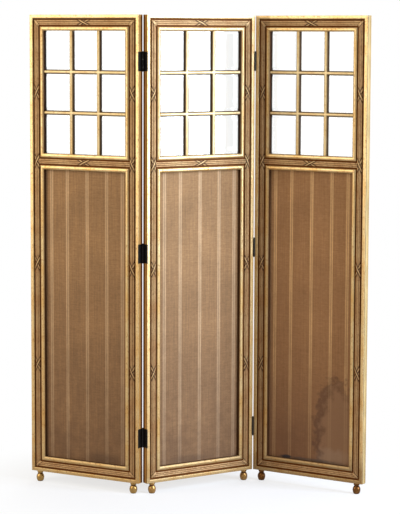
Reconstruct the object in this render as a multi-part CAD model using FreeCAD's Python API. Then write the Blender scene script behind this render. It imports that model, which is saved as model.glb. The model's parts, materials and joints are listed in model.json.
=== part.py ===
"""Three-fold screen with gilded frames, glazed upper lights and stretched fabric below.

Each fold is built in its own upright frame: X across the fold from its middle, Y from the
front of the mouldings to the back, Z up from the floor. The folds are then stood in a zigzag
about the hinge pins. Lengths are in millimetres.
"""
import FreeCAD, Part
import os

Vector = FreeCAD.Vector

# Fold: overall sizes
panel_width = 457.0
panel_thickness = 28.0
frame_height = 1665.0
foot_height = 39.0
mid_rail_height = 1140.0
ridge_angle = 63.0
valley_angle = 67.0

# Mouldings on the face, from the outside edge to the opening
band_width = 13.0
channel_width = 5.3
reed_width = 18.4
bead_width = 14.5
relief = 7.0

# Moulding sections, as shares of the relief, measured down from the highest point
band_crest_share = 0.12
band_shoulder_share = 0.50
band_round_share = 0.34
reed_crest_share = 0.15
side_reed_crest_share = 0.32
reed_valley_share = 0.50
reed_side_share = 0.66
bead_crest_share = 0.12
bead_outer_share = 0.52
bead_inner_share = 0.62
bead_crest_across_share = 0.42

# Crossed ribbon ties
tie_length = 36.0
ribbon_width = 7.5
ribbon_side_share = 0.46
corner_ribbon_width = 6.0
lower_tie_shares = (1 / 3, 2 / 3)
upper_tie_share = 0.5

# Joinery of the frame
rebate_width = 9.0
rebate_depth = 11.0
tenon_length = 18.0
tenon_thickness = 9.0
tenon_shoulder = 13.0
wood_fit = 0.1
overrun = 1.0

# Glazing
bars_each_way = 2
bar_width = 13.0
bar_stem = 5.0
bar_setback = 8.0
bar_round = 1.6
bar_back_gap = 1.0
glass_thickness = 5.0
glass_edge = 2.6
glass_bevel = 17.0
glass_clearance = 0.75

# Fabric panel
fabric_thickness = 0.8
lining_thickness = 0.6
strainer_width = 26.0
strainer_thickness = 8.0
strainer_clearance = 0.75

# Turned feet
foot_neck_radius = 9.0
foot_belly_radius = 14.0
foot_sole_radius = 9.6
foot_belly_share = 0.51
foot_neck_share = 0.89
foot_lower_share = 0.92
foot_upper_share = 0.92
spigot_radius = 5.0
spigot_length = 20.0

# Hinges
hinge_gap = 1.3
pin_offset = 2.3
leaf_height = 68.0
leaf_width = 26.6
leaf_thickness = 1.5
knuckle_radius = 3.0
knuckle_count = 5
knuckle_clearance = 0.2
pin_radius = 1.5
pin_clearance = 0.05
pin_head_height = 1.6
pin_head_radius = 2.4
hinge_end_distance = 163.0
mid_hinge_drop = 7.0
recess_fit = 0.1
screw_head_radius = 3.2
screw_shank_radius = 1.6
screw_length = 15.0
screw_fit = 0.1
screw_height_shares = (-0.34, 0.0, 0.34)
screw_across_shares = (0.42, 0.63, 0.42)

# Worked out from the sizes above
reed_inset = band_width + channel_width
stile_width = reed_inset + reed_width + channel_width + bead_width
mid_rail_width = reed_width + 2 * (channel_width + bead_width)
opening_width = panel_width - 2 * stile_width
frame_top = foot_height + frame_height
mid_rail_centre = foot_height + mid_rail_height
rebate_y = panel_thickness - rebate_depth
lower_opening = (foot_height + stile_width, mid_rail_centre - mid_rail_width / 2)
upper_opening = (mid_rail_centre + mid_rail_width / 2, frame_top - stile_width)
foot_x = (panel_width - stile_width) / 2
axis_x = (panel_width + hinge_gap) / 2
hinge_heights = (foot_height + hinge_end_distance,
                 foot_height + frame_height / 2 - mid_hinge_drop,
                 frame_top - hinge_end_distance)

X_MIRROR = Vector(1, 0, 0)
SWAP_X_Z = Vector(1, 0, -1)
UP = Vector(0, 0, 1)


def box(x, y, z):
    """A box from its low and high limits along each axis."""
    corner = Vector(x[0], y[0], z[0])
    return Part.makeBox(x[1] - x[0], y[1] - y[0], z[1] - z[0], corner)


def moved(shape, x=0.0, y=0.0, z=0.0):
    """A copy of a shape, shifted."""
    copy = shape.copy()
    copy.translate(Vector(x, y, z))
    return copy


def mirrored(shape):
    """A copy of a shape, mirrored left to right about the fold's middle."""
    return shape.mirror(Vector(), X_MIRROR)


def polygon(points):
    """A closed wire through points given as (x, y, z)."""
    corners = [Vector(*point) for point in points]
    return Part.makePolygon(corners + corners[:1])


def section(steps):
    """A face in the XY plane: each step is a corner, or a middle point and an end of an arc."""
    edges = []
    here = Vector(*steps[-1][-1])
    for step in steps:
        points = [Vector(*point) for point in step]
        if len(points) == 2:
            edges.append(Part.Arc(here, *points).toShape())
        else:
            edges.append(Part.makeLine(here, points[0]))
        here = points[-1]
    return Part.Face(Part.Wire(edges))


def band_section():
    """The flat outer band with both front edges rounded."""
    crest = band_crest_share * relief
    shoulder = band_shoulder_share * relief
    turn = band_round_share * band_width
    ease = turn / 4
    dip = (crest + shoulder) / 2 - (shoulder - crest) / 4
    return section([
        [(0, shoulder)],
        [(ease, dip), (turn, crest)],
        [(band_width - turn, crest)],
        [(band_width - ease, dip), (band_width, shoulder)],
        [(band_width, relief)],
        [(0, relief)],
    ])


def reed_section():
    """Three reeds bundled side by side, the middle one highest."""
    third = reed_width / 3
    side = reed_side_share * relief
    valley = reed_valley_share * relief
    low = side_reed_crest_share * relief
    high = reed_crest_share * relief
    return section([
        [(0, side)],
        [(third / 2, low), (third, valley)],
        [(reed_width / 2, high), (2 * third, valley)],
        [(reed_width - third / 2, low), (reed_width, side)],
        [(reed_width, relief)],
        [(0, relief)],
    ])


def ribbon_section():
    """The smooth round that the ribbons follow over the reeds."""
    side = ribbon_side_share * relief
    return section([
        [(0, side)],
        [(reed_width / 2, 0), (reed_width, side)],
        [(reed_width, relief)],
        [(0, relief)],
    ])


def bead_section():
    """The bead next to an opening, highest on its outer half."""
    outer = bead_outer_share * relief
    inner = bead_inner_share * relief
    crest = (bead_crest_across_share * bead_width, bead_crest_share * relief)
    return section([
        [(0, outer)],
        [crest, (bead_width, inner)],
        [(bead_width, relief)],
        [(0, relief)],
    ])


def plan_prism(points):
    """A prism through the mouldings' depth, from plan points (across, along)."""
    wire = polygon([(across, -overrun, along) for across, along in points])
    return Part.Face(wire).extrude(Vector(0, relief + 2 * overrun, 0))


def mitred_stick(face, width, run):
    """A moulding along Z whose two ends are mitred towards the inside."""
    stick = face.extrude(Vector(0, 0, run))
    plan = plan_prism([(0, 0), (width, width), (width, run - width), (0, run)])
    return stick.common(plan)


def crossed_tie():
    """Two ribbons that cross over the reeds, half a tie's length either side of zero."""
    end = tie_length / 2
    rising = plan_prism([(0, -end), (0, ribbon_width - end),
                         (reed_width, end), (reed_width, end - ribbon_width)])
    falling = plan_prism([(0, end), (0, end - ribbon_width),
                          (reed_width, -end), (reed_width, ribbon_width - end)])
    cover = ribbon_section().extrude(Vector(0, 0, tie_length))
    return moved(cover, z=-end).common(rising.fuse(falling))


def corner_tie():
    """The part of a ribbon that lies along the mitre at the low end of a length."""
    plan = plan_prism([(0, 0), (reed_width, reed_width),
                       (reed_width, reed_width + corner_ribbon_width), (0, corner_ribbon_width)])
    cover = ribbon_section().extrude(Vector(0, 0, reed_width + corner_ribbon_width))
    return cover.common(plan)


def flipped(shape, run):
    """A copy of a length turned end for end."""
    return shape.mirror(Vector(0, 0, run / 2), UP)


def reed_length(run, ties):
    """A mitred length of reeding with crossed ties at the given places along it."""
    stick = mitred_stick(reed_section(), reed_width, run)
    corner = corner_tie()
    ribbons = [corner, flipped(corner, run)]
    ribbons += [moved(crossed_tie(), z=place) for place in ties]
    return stick.fuse(ribbons).removeSplitter()


def laid_across(stick, width, base):
    """A length turned to run along X, its outside edge at the given height."""
    return moved(stick.mirror(Vector(), SWAP_X_Z), x=-width / 2, z=base)


def four_sides(upright, across, width, limits):
    """Both uprights and both cross lengths of a rectangular moulding."""
    low, high = limits
    left = moved(upright, x=-width / 2, z=low)
    bottom = laid_across(across, width, low)
    top = bottom.mirror(Vector(0, 0, (low + high) / 2), UP)
    return left, mirrored(left), bottom, top


def mitred_frame(face, face_width, width, limits):
    """Four mitred lengths round a rectangle."""
    upright = mitred_stick(face, face_width, limits[1] - limits[0])
    across = mitred_stick(face, face_width, width)
    return four_sides(upright, across, width, limits)


def outer_band():
    """The band that runs round the outside of a fold."""
    return mitred_frame(band_section(), band_width, panel_width, (foot_height, frame_top))


def opening_bead(limits):
    """The bead round one opening."""
    edge = (limits[0] - bead_width, limits[1] + bead_width)
    return mitred_frame(bead_section(), bead_width, opening_width + 2 * bead_width, edge)


def reeding():
    """The ribbon-tied reeding of the stiles and of the three rails."""
    low = foot_height + reed_inset
    high = frame_top - reed_inset
    width = panel_width - 2 * reed_inset
    middle = mid_rail_centre - low
    reed_top = high - low - reed_width / 2
    reed_bottom = reed_width / 2
    ties = [middle, middle + upper_tie_share * (reed_top - middle)]
    ties += [reed_bottom + share * (middle - reed_bottom) for share in lower_tie_shares]
    upright = reed_length(high - low, ties)
    plain = reed_length(width, [])
    tied = reed_length(width, [width / 2])
    left, right, _, top = four_sides(upright, tied, width, (low, high))
    bottom = laid_across(plain, width, low)
    inner = width - 2 * reed_width
    cross = reed_section().extrude(Vector(0, 0, inner))
    cross = cross.fuse(moved(crossed_tie(), z=inner / 2)).removeSplitter()
    middle_length = laid_across(cross, inner, mid_rail_centre - reed_width / 2)
    return left, right, top, middle_length, bottom


def rebate(limits):
    """The pocket cut from the back round one opening."""
    reach = opening_width / 2 + rebate_width
    return box((-reach, reach), (rebate_y, panel_thickness + overrun),
               (limits[0] - rebate_width, limits[1] + rebate_width))


def rails():
    """Top, middle and bottom rails, each as its low and high edge."""
    return {
        "top_rail": (upper_opening[1], frame_top),
        "mid_rail": (lower_opening[1], upper_opening[0]),
        "bottom_rail": (foot_height, lower_opening[0]),
    }


def tenons(limits, fit):
    """A bar through both joints of a rail: its tenons, or with a fit, their mortises."""
    reach = opening_width / 2 + tenon_length + fit
    middle = (relief + panel_thickness) / 2
    half = tenon_thickness / 2 + fit
    return box((-reach, reach), (middle - half, middle + half),
               (limits[0] + tenon_shoulder - fit, limits[1] - tenon_shoulder + fit))


def rail(limits):
    """One rail with its stub tenons and the rebates along its openings."""
    half = opening_width / 2
    blank = box((-half, half), (relief, panel_thickness), limits).fuse(tenons(limits, 0.0))
    return blank.cut([rebate(lower_opening), rebate(upper_opening)]).removeSplitter()


def stile():
    """The left stile, with its mortises, rebates and foot socket."""
    edge = panel_width / 2
    blank = box((-edge, stile_width - edge), (relief, panel_thickness), (foot_height, frame_top))
    cuts = [tenons(limits, wood_fit) for limits in rails().values()]
    cuts += [rebate(lower_opening), rebate(upper_opening)]
    socket = Part.makeCylinder(spigot_radius + wood_fit, spigot_length + wood_fit + overrun)
    cuts.append(moved(socket, -foot_x, panel_thickness / 2, foot_height - overrun))
    return blank.cut(cuts).removeSplitter()


def foot():
    """A turned foot that narrows to its sole, with a spigot on top."""
    belly = foot_belly_share * foot_height
    neck = foot_neck_share * foot_height
    top = foot_height + spigot_length
    sole = Vector(foot_sole_radius, 0, 0)
    widest = Vector(foot_belly_radius, 0, belly)
    waist = Vector(foot_neck_radius, 0, neck)
    lower = Vector(foot_lower_share * foot_belly_radius, 0, belly / 2)
    upper = Vector(foot_upper_share * foot_belly_radius, 0, (belly + neck) / 2)
    corners = [(foot_neck_radius, 0, neck), (foot_neck_radius, 0, foot_height),
               (spigot_radius, 0, foot_height), (spigot_radius, 0, top), (0, 0, top), (0, 0, 0)]
    outline = [Part.makeLine(Vector(), sole),
               Part.Arc(sole, lower, widest).toShape(),
               Part.Arc(widest, upper, waist).toShape()]
    outline += Part.makePolygon([Vector(*corner) for corner in corners]).Edges
    turned = Part.Face(Part.Wire(outline)).revolve(Vector(), UP, 360)
    return moved(turned, y=panel_thickness / 2)


def cells(limits):
    """Each light of the glazed opening: its visible rectangle and the larger seat behind it."""
    low, high = limits
    count = bars_each_way + 1
    step_x = opening_width / count
    step_z = (high - low) / count
    for column in range(count):
        for row in range(count):
            sight, seat = [], []
            for index, step, start in ((column, step_x, -opening_width / 2), (row, step_z, low)):
                near = start + index * step
                far = near + step
                first, last = index == 0, index == count - 1
                sight.append((near + (0 if first else bar_width / 2),
                              far - (0 if last else bar_width / 2)))
                seat.append((near - rebate_width if first else near + bar_stem / 2,
                             far + rebate_width if last else far - bar_stem / 2))
            yield sight, seat


def glass_back():
    """Depth of the panes' back, with their bevel against the lip of the rebate."""
    lap = rebate_width - glass_clearance
    return rebate_y + glass_edge + (glass_thickness - glass_edge) * lap / glass_bevel


def glass_pane(seat):
    """A pane with a wide bevel round its front."""
    (left, right), (low, high) = seat
    wide = right - left - 2 * glass_clearance
    tall = high - low - 2 * glass_clearance
    slope = glass_thickness - glass_edge
    blank = Part.makeBox(wide, glass_edge, tall, Vector(0, slope, 0))
    ramp = Part.makeWedge(glass_bevel, 0, glass_bevel, 0, 0,
                          wide - glass_bevel, slope, tall - glass_bevel, tall, wide)
    pane = blank.fuse(ramp).removeSplitter()
    return moved(pane, left + glass_clearance, glass_back() - glass_thickness, low + glass_clearance)


def stop_frame(sight, seat):
    """The stop that holds one pane from the back."""
    depth = (glass_back(), panel_thickness - bar_back_gap)
    through = (depth[0] - overrun, depth[1] + overrun)
    return box(seat[0], depth, seat[1]).cut(box(sight[0], through, sight[1]))


def bar_section():
    """A glazing bar: rounded front, and a stem that stands between the panes."""
    half = bar_width / 2
    stem = bar_stem / 2
    shoulder = bar_setback + bar_round
    back = panel_thickness - bar_back_gap
    return section([
        [(-half, shoulder)],
        [(0, bar_setback), (half, shoulder)],
        [(half, rebate_y)],
        [(stem, rebate_y)],
        [(stem, back)],
        [(-stem, back)],
        [(-stem, rebate_y)],
        [(-half, rebate_y)],
    ])


def bar(run):
    """A bar along Z from the lip of one rebate to the other, its stem reaching into both."""
    full = bar_section().extrude(Vector(0, 0, run + 2 * rebate_width))
    full = moved(full, z=-rebate_width)
    side = (-bar_width, bar_width)
    head = (0, rebate_y)
    ends = [box(side, head, (-rebate_width - overrun, 0)),
            box(side, head, (run, run + rebate_width + overrun))]
    return full.cut(ends)


def glazing_bars(limits):
    """Uprights and crossbars, halved together where they cross."""
    low, high = limits
    count = bars_each_way + 1
    xs = [opening_width * (i + 1) / count - opening_width / 2 for i in range(bars_each_way)]
    zs = [low + (high - low) * (i + 1) / count for i in range(bars_each_way)]
    half = bar_width / 2
    stem = bar_stem / 2
    front = (0, rebate_y)
    rear = (rebate_y, panel_thickness)
    upright = moved(bar(high - low), z=low)
    upright = upright.cut([box((-half, half), front, (z - half, z + half)) for z in zs])
    crossbar = laid_across(bar(opening_width), opening_width, 0)
    crossbar = crossbar.cut([box((x - stem, x + stem), rear, (-stem, stem)) for x in xs])
    return [moved(upright, x=x) for x in xs] + [moved(crossbar, z=z) for z in zs]


def fabric_limits():
    """Half width, low and high of what is set into the lower rebate."""
    lap = rebate_width - strainer_clearance
    return opening_width / 2 + lap, lower_opening[0] - lap, lower_opening[1] + lap


def fabric_sheet(front, thickness):
    """A flat sheet over the whole strainer."""
    half, low, high = fabric_limits()
    return box((-half, half), (front, front + thickness), (low, high))


def strainer():
    """Two long bars and three cross bars that carry the fabric."""
    half, low, high = fabric_limits()
    front = rebate_y + fabric_thickness
    depth = (front, front + strainer_thickness)
    inner = half - strainer_width
    middle = (low + high - strainer_width) / 2
    left = box((-half, -inner), depth, (low, high))
    cross = [box((-inner, inner), depth, (base, base + strainer_width))
             for base in (low, middle, high - strainer_width)]
    return [left, mirrored(left)] + cross


def hinge_slots():
    """Low and high of each knuckle of a hinge, about its middle."""
    step = leaf_height / knuckle_count
    gap = knuckle_clearance / 2
    return [(i * step - leaf_height / 2 + gap, (i + 1) * step - leaf_height / 2 - gap)
            for i in range(knuckle_count)]


def screw_places():
    """Depth from the knuckle's side and height of each screw of a leaf."""
    pairs = zip(screw_across_shares, screw_height_shares)
    return [(pin_offset + across * leaf_width, height * leaf_height) for across, height in pairs]


def screw(grow):
    """A countersunk screw along -X whose head is flush at zero, grown all round by a fit."""
    head = Part.makeCone(screw_head_radius + grow, screw_shank_radius + grow, leaf_thickness)
    shank = Part.makeCylinder(screw_shank_radius + grow, screw_length + grow)
    whole = head.fuse(shank).removeSplitter()
    whole.rotate(Vector(), Vector(0, 1, 0), -90)
    return whole


def hinge_screws(grow):
    """The screws of the leaf on the -X side of a hinge axis."""
    return [moved(screw(grow), -hinge_gap / 2, -depth, height) for depth, height in screw_places()]


def knuckle_room(low, high, room):
    """A cylinder about the hinge axis, larger than a knuckle by the given room."""
    return moved(Part.makeCylinder(knuckle_radius + room, high - low), z=low)


def leaf(first):
    """The leaf on the -X side of a hinge axis, with every second knuckle from the first."""
    face = -hinge_gap / 2
    plate_x = (face - leaf_thickness, face)
    half = leaf_height / 2
    bore = Part.makeCylinder(pin_radius + pin_clearance, leaf_height + 2 * overrun)
    bore = moved(bore, z=-half - overrun)
    whole = box(plate_x, (-pin_offset - leaf_width, -pin_offset), (-half, half))
    gap = knuckle_clearance
    others = [knuckle_room(low - gap, high + gap, gap) for low, high in hinge_slots()[1 - first::2]]
    whole = whole.cut(others)
    for low, high in hinge_slots()[first::2]:
        barrel = moved(Part.makeCylinder(knuckle_radius, high - low), z=low)
        web = box(plate_x, (-pin_offset, 0), (low, high))
        whole = whole.fuse([barrel, web])
    return whole.cut([bore] + hinge_screws(screw_fit)).removeSplitter()


def recess():
    """The pocket for a leaf on the -X side and its knuckles, with its screw holes."""
    face = -hinge_gap / 2
    half = leaf_height / 2 + recess_fit
    pocket = box((face - leaf_thickness, face + overrun),
                 (-pin_offset - leaf_width - recess_fit, 0), (-half, half))
    reach = half + pin_head_height
    return [pocket, knuckle_room(-reach, reach, recess_fit)] + hinge_screws(screw_fit)


def pin():
    """A hinge pin with a flat button at each end."""
    half = leaf_height / 2
    shaft = moved(Part.makeCylinder(pin_radius, leaf_height), z=-half)
    button = Part.makeCylinder(pin_head_radius, pin_head_height)
    ends = [moved(button, z=half), moved(button, z=-half - pin_head_height)]
    return shaft.fuse(ends).removeSplitter()


def at_hinges(shapes, side, knuckle_front):
    """Shapes of a hinge's -X side, set on one edge of a fold at each hinge height."""
    placed = []
    for shape in shapes:
        turned = shape.copy()
        on_right = side == "right"
        if knuckle_front:
            turned.rotate(Vector(), UP, 180)
        if on_right == knuckle_front:
            turned = mirrored(turned)
        x = axis_x if on_right else -axis_x
        y = -pin_offset if knuckle_front else panel_thickness + pin_offset
        placed += [moved(turned, x, y, height) for height in hinge_heights]
    return placed


def fold_pieces():
    """Every piece of a fold that all three folds share, as name and list of solids."""
    left_stile = stile()
    left_foot = moved(foot(), x=-foot_x)
    lights = list(cells(upper_opening))
    lining_front = rebate_y + fabric_thickness + strainer_thickness
    pieces = {
        "stile_left": [left_stile],
        "stile_right": [mirrored(left_stile)],
        "outer_band": outer_band(),
        "reeding": reeding(),
        "upper_bead": opening_bead(upper_opening),
        "lower_bead": opening_bead(lower_opening),
        "glazing_bars": glazing_bars(upper_opening),
        "glass_panes": [glass_pane(seat) for _, seat in lights],
        "glazing_stops": [stop_frame(sight, seat) for sight, seat in lights],
        "fabric": [fabric_sheet(rebate_y, fabric_thickness)],
        "strainer": strainer(),
        "lining": [fabric_sheet(lining_front, lining_thickness)],
        "feet": [left_foot, mirrored(left_foot)],
    }
    for name, limits in rails().items():
        pieces[name] = [rail(limits)]
    return pieces


def hinged_edge(pieces, side, knuckle_front, first):
    """Let the leaves of one edge into a fold and return the leaves and their screws."""
    cuts = at_hinges(recess(), side, knuckle_front)
    for name in (f"stile_{side}", "outer_band"):
        pieces[name] = [solid.cut(cuts).removeSplitter() for solid in pieces[name]]
    leaves = at_hinges([leaf(first)], side, knuckle_front)
    return leaves, at_hinges(hinge_screws(0.0), side, knuckle_front)


def placement(turn, local, world):
    """Turn a fold about Z and bring one point of it to a point on the floor."""
    rotation = FreeCAD.Rotation(UP, turn)
    return FreeCAD.Placement(world - rotation.multVec(local), rotation)


def footprint_middle(places):
    """Middle of the rectangle on the floor that the standing folds take up."""
    half = panel_width / 2
    corners = [place.multVec(Vector(x, y, 0)) for place in places.values()
               for x in (-half, half) for y in (0, panel_thickness)]
    xs = [corner.x for corner in corners]
    ys = [corner.y for corner in corners]
    return Vector((min(xs) + max(xs)) / 2, (min(ys) + max(ys)) / 2, 0)


def stand():
    """Place of each fold in the zigzag, about the floor point below its middle."""
    turn = (ridge_angle + valley_angle) / 4
    ridge_y = panel_thickness + pin_offset
    centre = placement(turn, Vector(), Vector())
    ridge = centre.multVec(Vector(-axis_x, ridge_y, 0))
    valley = centre.multVec(Vector(axis_x, -pin_offset, 0))
    places = {
        "centre": centre,
        "left": placement(turn - ridge_angle, Vector(axis_x, ridge_y, 0), ridge),
        "right": placement(turn - valley_angle, Vector(-axis_x, -pin_offset, 0), valley),
    }
    shift = footprint_middle(places)
    for place in places.values():
        place.Base = place.Base - shift
    print("ridge pin", ridge - shift, "valley pin", valley - shift)
    return places


def folds(places):
    """All pieces of the three folds, by fold and by name."""
    shared = fold_pieces()
    parts = {fold: dict(shared) for fold in places}
    edges = [("left", "right", False, 1, "hinge_leaves", "hinge_screws"),
             ("centre", "left", False, 0, "ridge_leaves", "ridge_screws"),
             ("centre", "right", True, 0, "valley_leaves", "valley_screws"),
             ("right", "left", True, 1, "hinge_leaves", "hinge_screws")]
    for fold, side, knuckle_front, first, leaves, screws in edges:
        pieces = parts[fold]
        pieces[leaves], pieces[screws] = hinged_edge(pieces, side, knuckle_front, first)
        if fold == "centre":
            pins = leaves.replace("leaves", "pins")
            pieces[pins] = at_hinges([pin()], side, knuckle_front)
    return parts


def main():
    """Write one file for each node, standing in the zigzag."""
    os.makedirs("parts", exist_ok=True)
    places = stand()
    for fold, pieces in folds(places).items():
        for name, solids in pieces.items():
            whole = solids[0] if len(solids) == 1 else Part.makeCompound(list(solids))
            whole = whole.copy()
            whole.Placement = places[fold].multiply(whole.Placement)
            whole.exportStep(f"parts/{fold}_{name}.step")


main()
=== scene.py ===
"""Looks of a three-fold gilded screen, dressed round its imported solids.

Shapes are worked out in each fold's own upright frame, in millimetres: X across the fold from its
middle, Y from the front of the mouldings to the back, Z up from the floor. A fold then turns and
moves to its place in the zigzag, in metres.
"""

import json
import logging
import math
from dataclasses import dataclass, field, replace
from enum import Enum
from typing import Any, Iterable, Sequence

import bmesh
import bpy
import numpy as np
from mathutils import Matrix, Vector


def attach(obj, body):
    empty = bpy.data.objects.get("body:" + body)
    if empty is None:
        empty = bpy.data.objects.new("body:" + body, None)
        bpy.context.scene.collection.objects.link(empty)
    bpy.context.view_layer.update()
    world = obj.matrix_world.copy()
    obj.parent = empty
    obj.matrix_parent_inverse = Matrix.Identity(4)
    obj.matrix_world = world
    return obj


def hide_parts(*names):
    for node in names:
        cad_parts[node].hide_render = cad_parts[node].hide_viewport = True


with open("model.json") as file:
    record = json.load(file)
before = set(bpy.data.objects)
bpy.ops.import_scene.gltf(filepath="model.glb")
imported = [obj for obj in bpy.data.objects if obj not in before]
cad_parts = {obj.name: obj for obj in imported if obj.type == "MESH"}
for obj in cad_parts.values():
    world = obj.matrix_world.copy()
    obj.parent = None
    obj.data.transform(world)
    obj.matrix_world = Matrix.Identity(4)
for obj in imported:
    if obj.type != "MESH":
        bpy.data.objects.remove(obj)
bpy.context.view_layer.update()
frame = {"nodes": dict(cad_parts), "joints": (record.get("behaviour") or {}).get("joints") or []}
MM = 0.001
TOLERANCE = 0.01
# Lengths of a hand's slow waves in millimetres, and how seeds and waves shift them
HAND_WAVES = (31.0, 67.0, 149.0, 331.0)
SEED_SHIFT, WAVE_SHIFT = 1.7, 2.3
# A wave texture of scale one has this many radians to a unit
WAVE_TURNS = 20
LOG = logging.getLogger("screen")
Pair = tuple[float, float]
Triple = tuple[float, float, float]
Socket = bpy.types.NodeSocket
Value = float | str | Triple | Socket


class FoldName(Enum):
    """The three folds, from left to right."""

    LEFT = "left"
    CENTRE = "centre"
    RIGHT = "right"


class Side(Enum):
    """Sides of a rectangle that a moulding runs round."""

    LEFT = "left"
    RIGHT = "right"
    BOTTOM = "bottom"
    TOP = "top"


class Grain(Enum):
    """Direction that the grain of a board runs in."""

    UPRIGHT = "upright"
    ACROSS = "across"


def to_linear(colour: str) -> tuple[float, float, float, float]:
    """Turn an sRGB hex colour into linear values.

    Args:
        colour: colour such as "#E9CB86".

    Returns:
        Linear red, green and blue, and an alpha of one.
    """
    shares = [int(colour[i:i + 2], 16) / 255 for i in (1, 3, 5)]
    linear = [s / 12.92 if s <= 0.04045 else ((s + 0.055) / 1.055) ** 2.4 for s in shares]
    return (linear[0], linear[1], linear[2], 1.0)


def set_inputs(tree: bpy.types.NodeTree, node: bpy.types.Node, inputs: dict[Any, Value]) -> None:
    """Set a node's inputs.

    Args:
        tree: node tree that holds the node.
        node: the node.
        inputs: input name or number, with a number, an sRGB hex colour or a socket to link from.
    """
    for name, value in inputs.items():
        if isinstance(value, Socket):
            tree.links.new(value, node.inputs[name])
        else:
            node.inputs[name].default_value = to_linear(value) if isinstance(value, str) else value


def add_node(tree: bpy.types.NodeTree, kind: str, inputs: dict[Any, Value] | None = None,
             ramp: Iterable[tuple[float, str]] = (), **settings: Any) -> bpy.types.Node:
    """Add one node with its settings, values and links.

    Args:
        tree: node tree that takes the node.
        kind: node type without its "ShaderNode" start.
        inputs: input name or number, with its value.
        ramp: stops of a colour ramp, each a place and an sRGB hex colour.
        settings: the node's own properties.

    Returns:
        The new node.
    """
    node = tree.nodes.new("ShaderNode" + kind)
    for name, value in settings.items():
        setattr(node, name, value)
    set_inputs(tree, node, inputs or {})
    for i, (place, colour) in enumerate(ramp):
        stops = node.color_ramp.elements
        stop = stops[i] if i < 2 else stops.new(place)
        stop.position = place
        stop.color = to_linear(colour)
    return node


@dataclass(frozen=True)
class FoldSizes:
    """Sizes of one fold in millimetres, the same as its solids'."""

    width: float = 457.0
    thickness: float = 28.0
    foot_height: float = 39.0
    top: float = 1704.0
    mid_rail: float = 1179.0
    band: float = 13.0
    channel: float = 5.3
    reed: float = 18.4
    bead: float = 14.5
    relief: float = 7.0
    rebate_y: float = 17.0
    rebate_width: float = 9.0
    cloth_lap: float = 8.25
    axis_x: float = 229.15
    pin_offset: float = 2.3

    @property
    def reed_inset(self) -> float:
        """Distance from the outside edge to the reeding."""
        return self.band + self.channel

    @property
    def stile(self) -> float:
        """Width of a stile."""
        return self.reed_inset + self.reed + self.channel + self.bead

    @property
    def opening(self) -> float:
        """Width of both openings."""
        return self.width - 2 * self.stile

    @property
    def half_rail(self) -> float:
        """Half the middle rail's height."""
        return self.reed / 2 + self.channel + self.bead

    @property
    def lower(self) -> Pair:
        """Low and high edge of the cloth's opening."""
        return self.foot_height + self.stile, self.mid_rail - self.half_rail

    @property
    def upper(self) -> Pair:
        """Low and high edge of the glazed opening."""
        return self.mid_rail + self.half_rail, self.top - self.stile


SIZES = FoldSizes()


@dataclass(frozen=True)
class Fold:
    """One fold and its place in the zigzag."""

    name: FoldName
    turn: float
    base: Pair

    @property
    def body(self) -> str:
        """Name of the body that the fold's pieces ride on."""
        return f"{self.name.value}_panel"

    @property
    def seed(self) -> int:
        """A number that makes each fold's wear its own."""
        return 1 + list(FoldName).index(self.name)

    @property
    def hinged(self) -> tuple[Side, ...]:
        """Sides that carry hinge leaves."""
        return {FoldName.LEFT: (Side.RIGHT,), FoldName.CENTRE: (Side.LEFT, Side.RIGHT),
                FoldName.RIGHT: (Side.LEFT,)}[self.name]

    def node(self, piece: str) -> str:
        """Name of one of the fold's CAD nodes."""
        return f"{self.name.value}_{piece}"

    def to_row(self, points: np.ndarray) -> np.ndarray:
        """Bring points from the fold's frame to the standing row.

        Args:
            points: array of points in millimetres, three to a row.

        Returns:
            The points in metres in the shared frame.
        """
        angle = math.radians(self.turn)
        turn = np.array([[math.cos(angle), math.sin(angle), 0.0],
                         [-math.sin(angle), math.cos(angle), 0.0],
                         [0.0, 0.0, 1.0]])
        return (points @ turn + np.array([*self.base, 0.0])) * MM


def stand_folds() -> list[Fold]:
    """Work out each fold's place from the hinge pins.

    Returns:
        The left, centre and right fold.
    """
    pins = {joint["name"]: np.array(joint["pos_m"][:2]) / MM for joint in frame["joints"]}
    ridge_y = SIZES.thickness + SIZES.pin_offset
    stands = {
        FoldName.LEFT: (-30.5, "left_fold", (SIZES.axis_x, ridge_y)),
        FoldName.CENTRE: (32.5, "left_fold", (-SIZES.axis_x, ridge_y)),
        FoldName.RIGHT: (-34.5, "right_fold", (-SIZES.axis_x, -SIZES.pin_offset)),
    }
    folds = []
    for name, (turn, joint, pin) in stands.items():
        cos, sin = math.cos(math.radians(turn)), math.sin(math.radians(turn))
        turned = np.array([pin[0] * cos - pin[1] * sin, pin[0] * sin + pin[1] * cos])
        x, y = pins[joint] - turned
        folds.append(Fold(name, turn, (float(x), float(y))))
    return folds


@dataclass(frozen=True)
class Pattern:
    """Soft noise of a real size in millimetres, one for all ways or one for each axis.

    Values within its span are stretched to others, and own gives each fold a noise of its own.
    """

    size: float | Triple
    span: Pair = (0.0, 1.0)
    to: Pair = (0.0, 1.0)
    detail: float = 2.0
    roughness: float = 0.5
    own: bool = False


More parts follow.
